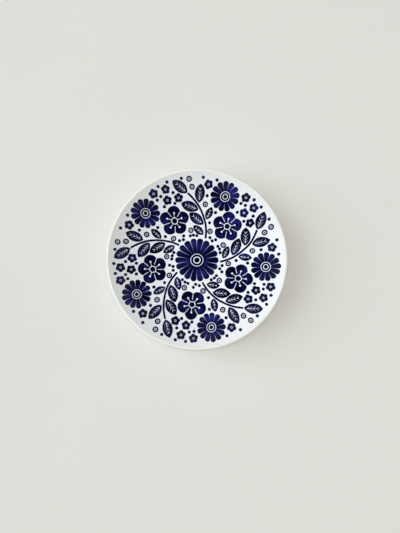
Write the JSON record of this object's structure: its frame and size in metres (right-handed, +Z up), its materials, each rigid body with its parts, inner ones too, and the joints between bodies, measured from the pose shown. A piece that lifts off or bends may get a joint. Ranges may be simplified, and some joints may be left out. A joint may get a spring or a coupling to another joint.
{
  "type": "soy sauce dish",
  "caption": "Small round shallow porcelain dish on a foot ring, white glaze, blue printed vines and flowers inside, for soy sauce or condiments.",
  "frame": {"origin": "centre of the foot ring's resting plane", "axes": "+Z up out of the dish, +X to the right and +Y to the top as the picture shows the dish from above"},
  "size_m": [0.1, 0.1, 0.02],
  "materials": {
    "biscuit": "matte",
    "white_glaze": "gloss",
    "cobalt_print": "gloss"
  },
  "bodies": {
    "root": {"porcelain_body": "biscuit", "foot_ring": "biscuit", "glaze_coat": "white_glaze", "base_glaze": "white_glaze", "print_centre_flower": "cobalt_print", "print_plum_flowers": "cobalt_print", "print_outer_flowers": "cobalt_print", "print_vines": "cobalt_print", "print_leaves": "cobalt_print", "print_blossoms": "cobalt_print", "print_rings": "cobalt_print", "print_dots": "cobalt_print"}
  },
  "joints": []
}
